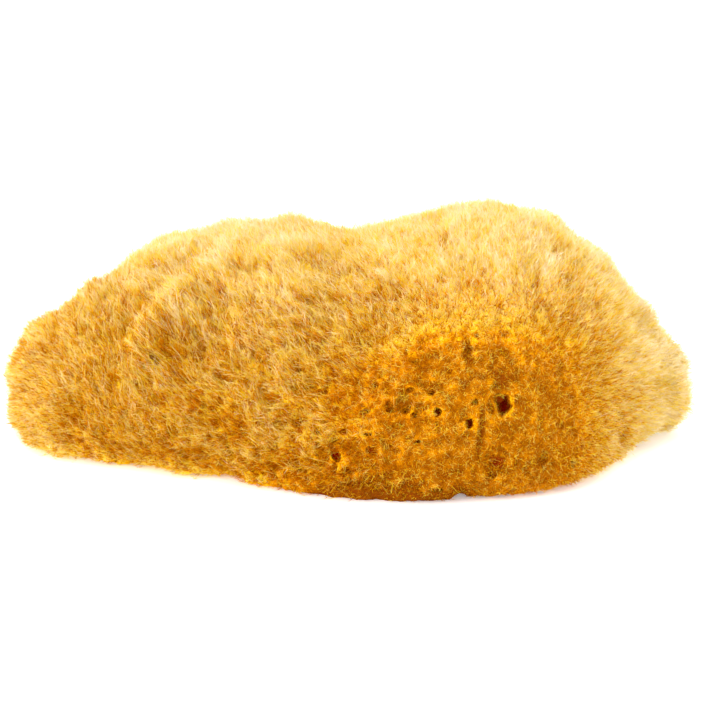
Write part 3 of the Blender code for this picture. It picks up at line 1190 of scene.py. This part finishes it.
    @staticmethod
    def pattern(seed: int, cells: np.ndarray) -> tuple[np.ndarray, np.ndarray]:
        """Reads noise and the way that it rises.

        Args:
            seed: Picks one pattern.
            cells: Points, in cells of the noise.

        Returns:
            The noise and its slope at each point.
        """
        noise, step = SmoothNoise(seed), 0.05
        level = noise(cells)
        return level, np.stack([noise(cells + step * axis) - level for axis in np.eye(3)], axis=1) / step

    def strand_tones(self, roots: Roots, spread: float) -> np.ndarray:
        """Each fibre's colour: its tone, with painted shade round the oscula and in the clefts, painted light
        and shade along the strands, and painted glints on some fibres.

        Args:
            roots: Where the fibres grow.
            spread: How much they differ from their neighbours.

        Returns:
            Its place among the colours of spongin.
        """
        # Painted light and shade along the strands: proud strands paler, low ones deeper, and painted glints
        # on some fibres.
        depth = between(*self.strand_light_and_shade, 1 - ramp(roots["tone_and_shading"], 0.45, 0.80))
        painted_glints = self.painted_glint * (self.rng.random(len(roots)) < self.painted_glint_share)
        # Painted shade round the oscula.
        base = roots["tone_and_shading"] - self.rim_painted_shade * roots["rim"]
        # Painted shade in the clefts between the locks.
        base = base - self.cleft_painted_shade * (roots["clefts"] - 0.2 * roots["combed"])
        tone_and_shading = base + depth * (roots["strands"] + painted_glints) + self.rng.normal(0, spread, len(roots))
        deepest = self.deepest_colour + self.combed_glow * roots["combed"]
        return np.clip(tone_and_shading, np.minimum(deepest, base + 0.1), between(*self.palest_colour, base))

    def clear(self, paths: np.ndarray) -> np.ndarray:
        """Tells which fibres keep clear of the oscula.

        Args:
            paths: The fibres' paths.

        Returns:
            True for each one that crosses none of their mouths.
        """
        tests = [paths[:, k] for k in range(1, paths.shape[1])]
        tests += [(paths[:, k] + paths[:, k - 1]) / 2 for k in range(1, paths.shape[1])]
        kept = np.ones(len(paths), bool)
        for mouth in self.surface.mouths:
            for places in tests:
                deep, share = mouth.locate(places)
                kept &= ~((share < 0.6 + 0.5 * mouth.hole.shade) & (np.abs(deep) < self.column))
        return kept

    def jitter(self, count: int) -> np.ndarray:
        """Random vectors."""
        return self.rng.normal(size=(count, 3))

    def finished(self, kind: FibreKind, steps: list[np.ndarray], roots: Roots) -> Strands:
        """Makes strands, and leaves out the ones that end over an osculum.

        Args:
            kind: The kind of fibre.
            steps: The places that the fibres go through from their roots, their tips last.
            roots: Their roots.

        Returns:
            The strands.
        """
        # Each fibre is painted deeper at its root, as shade, and paler at its tip, as light.
        tone_and_shading = self.strand_tones(roots, kind.spread)[:, None] + np.array(kind.root_shade_tip_light)
        paths = np.stack([roots.places - roots.normals * kind.sunk, *steps], axis=1)
        paths[..., 2] = np.maximum(paths[..., 2], self.floor)
        kept = self.clear(paths)
        widths = np.tile(kind.width * np.linspace(1, 0, paths.shape[1]) ** 0.6, (len(paths), 1))
        strands = Strands(paths, widths, tone_and_shading, roots.normals + kind.turn * self.jitter(len(paths)))
        for index in np.flatnonzero(roots["near_hole"] > self.near_mouth):
            normal, tip = Vector(roots.normals[index]), Vector(paths[index, -1])
            rise = float((paths[index, -1] - roots.places[index]) @ roots.normals[index])
            depth = max(rise + self.reach, self.least_reach)
            kept[index] = self.tree.ray_cast(tip + normal * 0.3 * MM, -normal, depth)[0] is not None
        return strands.chosen(kept)

    def heights(self, roots: Roots) -> np.ndarray:
        """How high over the flesh each fibre's tip comes: highest in the middle of each strand."""
        cleft = between(0.10, 0.30, roots["relief"]) * (1 - roots["strands"]) / 2
        height = (roots["inset"] + self.rng.uniform(*self.proud, len(roots))) * (1.1 - cleft)
        return np.maximum(height * (1 - self.cleft_depth * roots["clefts"]), self.least_height)

    @staticmethod
    def raised(
        ways: np.ndarray, normals: np.ndarray, limits: tuple[float, float]
    ) -> tuple[np.ndarray, np.ndarray]:
        """Turns fibres up where they would lie too flat.

        Args:
            ways: The ways that they grow.
            normals: The surface's normals at their roots.
            limits: The least rise to turn them up to, and the least to report.

        Returns:
            Their ways, and how far they rise, as a share of their length.
        """
        rise = (ways * normals).sum(axis=1)
        ways = unit(ways + normals * np.maximum(limits[0] - rise, 0)[:, None])
        return ways, np.maximum((ways * normals).sum(axis=1), limits[1])

    def grow_long(self) -> Strands:
        """Grows the long fibres, which lean together in locks."""
        kind, values = self.long, self.surface.values
        density = (0.3 + values["tone_and_shading"]) * (1 - values["shut_in"]) * (1 - values["underside"])
        density *= ramp(values["combed"], 0.35, 0.95) * between(0.5, 1.0, values["relief"])
        roots = self.scatter(kind.count, density * (1 - values["bare"]))
        leaders = KDTree(self.locks)
        for index, place in enumerate(roots.places[: self.locks]):
            leaders.insert(place, index)
        leaders.balance()
        leader = np.array([leaders.find(place)[1] for place in roots.places])
        steep = (roots["ways"] * roots.normals).sum(axis=1)[:, None]
        loose = self.jitter(len(roots))
        ways = roots["ways"] - 0.5 * roots["relief"][:, None] * steep * roots.normals
        ways = unit(ways + self.lock_looseness * loose[leader] + kind.looseness * loose)
        ways, rise = self.raised(ways, roots.normals, kind.rise)
        length = np.minimum(self.rng.uniform(*kind.length, len(roots)), self.heights(roots) / rise)
        tips = roots.places + ways * length[:, None]
        draw = self.lock_draw * roots["relief"] * self.rng.uniform(0.4, 1.2, len(roots))
        tips += draw[:, None] * (tips[leader] - tips)
        tips += roots["lean"]
        middles = roots.places + (0.75 * ways + 0.25 * roots.normals) * (0.5 * length)[:, None]
        middles += self.jitter(len(roots)) * self.stray
        return self.finished(kind, [middles, tips], roots)

    def grow_sides(self, long: Strands) -> Strands:
        """Grows side fibres out of the long ones.

        Args:
            long: The long fibres.

        Returns:
            The side fibres.
        """
        kind, count = self.sides, self.sides.count
        parents, place = self.rng.integers(0, len(long.paths), count), self.rng.uniform(0.3, 1.9, count)
        first = place.astype(int)
        start, end = long.paths[parents, first], long.paths[parents, first + 1]
        base = start + (end - start) * (place - first)[:, None]
        ways = unit(unit(end - start) + kind.looseness * self.jitter(count))
        tips = base + ways * self.rng.uniform(*kind.length, count)[:, None]
        tips[:, 2] = np.maximum(tips[:, 2], self.floor)
        tone_and_shading = long.tone_and_shading[parents, first] + self.rng.normal(0, kind.spread, count)
        strands = Strands(
            np.stack([base, tips], axis=1),
            np.tile([kind.width, 0.0], (count, 1)),
            tone_and_shading[:, None] + np.array(kind.root_shade_tip_light),
            long.facing[parents] + kind.turn * self.jitter(count),
        )
        return strands.chosen(self.clear(strands.paths))

    def grow_pile(self) -> Strands:
        """Grows the even pile, whose tips make the sponge's soft outline."""
        kind, values = self.pile, self.surface.values
        density = between(0.55, 1.0, values["combed"]) * (1 - values["shut_in"])
        density *= 1 - 0.9 * values["underside"]
        density *= (1 - 0.35 * values["relief"]) * (1 - values["bare"]) * (1 - 0.5 * values["rim"])
        roots = self.scatter(kind.count, density)
        combed = roots["combed"][:, None]
        spin = np.cross(roots.normals, unit(self.jitter(len(roots))))
        ways = combed * roots["ways"] + 0.8 * (1 - combed) * spin
        ways = unit(ways + kind.looseness * self.jitter(len(roots)))
        ways, rise = self.raised(ways, roots.normals, kind.rise)
        length = self.rng.uniform(*kind.length, len(roots)) * between(0.4, 1.0, roots["combed"])
        length = np.minimum(length, self.heights(roots) / rise)[:, None]
        tips = roots.places + ways * length + roots["lean"]
        bend = 0.5 * ways + 0.1 * roots.normals + self.curl * self.jitter(len(roots))
        middles = roots.places + bend * length
        return self.finished(kind, [middles, tips], roots)

    def grow_felt(self) -> Strands:
        """Grows the short fibres that lie every way over the flesh, the cut underside included."""
        kind, values = self.felt, self.surface.values
        density = between(1.6, 0.6, values["combed"]) * (1 - 0.5 * values["underside"])
        density *= (1 - 0.8 * values["shut_in"]) * (1 - 0.9 * values["bare"])
        roots = self.scatter(kind.count, density)
        spin = unit(np.cross(roots.normals, self.jitter(len(roots))))
        lift = self.rng.uniform(0.05, 0.6, len(roots))[:, None]
        ways = unit(spin + lift * roots.normals + 0.5 * roots["combed"][:, None] * roots["ways"])
        length = self.rng.uniform(*kind.length, len(roots)) * between(0.6, 1.2, roots["combed"])
        return self.finished(kind, [roots.places + ways * length[:, None]], roots)

    def mesh(self, name: str, parts: list[Strands]) -> bpy.types.Mesh:
        """Joins strands in one mesh.

        Args:
            name: The mesh's name.
            parts: The strands, of any number of steps.

        Returns:
            The mesh, with its colour map.
        """
        blades = [part.blades() for part in parts]
        starts = np.cumsum([0] + [len(points) for points, _, _ in blades])
        points = np.concatenate([points for points, _, _ in blades])
        triangles = np.concatenate([tris + start for (_, tris, _), start in zip(blades, starts)])
        chart = np.concatenate([chart for _, _, chart in blades])
        mesh = bpy.data.meshes.new(name)
        mesh.vertices.add(len(points))
        mesh.vertices.foreach_set("co", points.ravel())
        mesh.loops.add(triangles.size)
        mesh.loops.foreach_set("vertex_index", triangles.ravel())
        mesh.polygons.add(len(triangles))
        mesh.polygons.foreach_set("loop_start", np.arange(len(triangles)) * 3)
        mesh.update(calc_edges=True)
        layer = mesh.uv_layers.new(name=COLOUR_MAP)
        layer.uv.foreach_set("vector", chart[triangles.ravel()].ravel())
        return mesh

    def build(self) -> list[bpy.types.Object]:
        """Grows all the fibres.

        Returns:
            One object for each region.
        """
        long = self.grow_long()
        kinds = [long, self.grow_sides(long), self.grow_pile(), self.grow_felt()]
        everywhere = np.concatenate([kind.paths[:, 0, 0] for kind in kinds])
        costs = np.concatenate([np.full(len(kind.paths), kind.cost) for kind in kinds])
        order = np.argsort(everywhere)
        running = np.cumsum(costs[order]) / costs.sum()
        cuts = [everywhere[order][np.searchsorted(running, k / len(Region))] for k in range(1, len(Region))]
        finish = self.finish.build()
        made = []
        for index, region in enumerate(Region):
            parts = [kind.chosen(np.digitize(kind.paths[:, 0, 0], cuts) == index) for kind in kinds]
            mesh = self.mesh(region.value, parts)
            mesh.materials.append(finish)
            made.append(add_object(region.value, mesh))
        return made


# The studio.


@dataclass(frozen=True)
class SoftBox:
    """A square soft light, with its place, its width and its power in watts."""

    name: str
    place: tuple[float, float, float]
    width: float
    watts: float

    def build(self, target: Vector) -> None:
        """Makes the light, which faces the target."""
        lamp = bpy.data.lights.new(self.name, "AREA")
        lamp.size = self.width
        lamp.energy = self.watts
        light = add_object(self.name, lamp)
        light.location = self.place
        light.rotation_euler = (target - light.location).to_track_quat("-Z", "Y").to_euler()


@dataclass(frozen=True)
class Studio:
    """A white, evenly lit set with one soft light above and behind and one in front, and the camera."""

    white: str = "#FFFFFF"
    surround: float = 1.40
    lights: tuple[SoftBox, ...] = (
        SoftBox("top_light", place=(0.15, 0.30, 0.75), width=0.7, watts=2.7),
        SoftBox("front_light", place=(-0.60, -0.56, 0.46), width=0.4, watts=4.2),
    )
    board: WhiteBoard = field(default_factory=WhiteBoard)
    floor_width: float = 6.0
    # The view's height above the horizon, its distance, its lens and what it looks at.
    elevation: float = math.radians(15)
    distance: float = 0.413
    lens: float = 100.0
    target: Vector = field(default_factory=lambda: Vector((0, 0, 20.4 * MM)))

    def build_floor(self) -> bpy.types.Object:
        """Makes the pale floor."""
        mesh = bpy.data.meshes.new("floor")
        half = self.floor_width / 2
        corners = [(x * half, y * half, 0) for x, y in ((-1, -1), (1, -1), (1, 1), (-1, 1))]
        mesh.from_pydata(corners, [], [(0, 1, 2, 3)])
        mesh.materials.append(self.board.build())
        return add_object("floor", mesh)

    def build_camera(self) -> None:
        """Makes the camera, at the height and distance that match the outline."""
        data = bpy.data.cameras.new("camera")
        data.lens = self.lens
        data.clip_start = 0.01
        camera = add_object("camera", data)
        back = Vector((0, -math.cos(self.elevation), math.sin(self.elevation)))
        camera.location = self.target + back * self.distance
        camera.rotation_euler = (-back).to_track_quat("-Z", "Y").to_euler()
        bpy.context.scene.camera = camera

    def build_surround(self) -> None:
        """Makes the white surround that lights everything evenly."""
        world = bpy.data.worlds.new("surround")
        world.use_nodes = True
        background = world.node_tree.nodes["Background"]
        background.inputs["Color"].default_value = linear(self.white)
        background.inputs["Strength"].default_value = self.surround
        bpy.context.scene.world = world

    def build(self) -> None:
        """Sets up the whole studio."""
        self.build_floor()
        for light in self.lights:
            light.build(self.target)
        self.build_camera()
        self.build_surround()
        bpy.context.scene.view_settings.view_transform = "Standard"


def triangle_count(piece: bpy.types.Object) -> int:
    """How many triangles a piece has."""
    return sum(len(face.vertices) - 2 for face in piece.data.polygons)


def main() -> None:
    """Builds the sponge and the studio, and reports each piece."""
    logging.basicConfig(level=logging.INFO, format="%(name)s: %(message)s")
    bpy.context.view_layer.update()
    low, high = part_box(CAD_NODE)
    growth = Growth(np.array(high - low))
    flesh, surface = Flesh(growth).build()
    pieces = [flesh, *Tufts(surface).build()]
    for piece in pieces:
        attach(piece, BODY)
        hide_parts(CAD_NODE)
        LOG.info("%s: %d triangles", piece.name, triangle_count(piece))
    Studio().build()


if __name__ == "__main__":
    main()
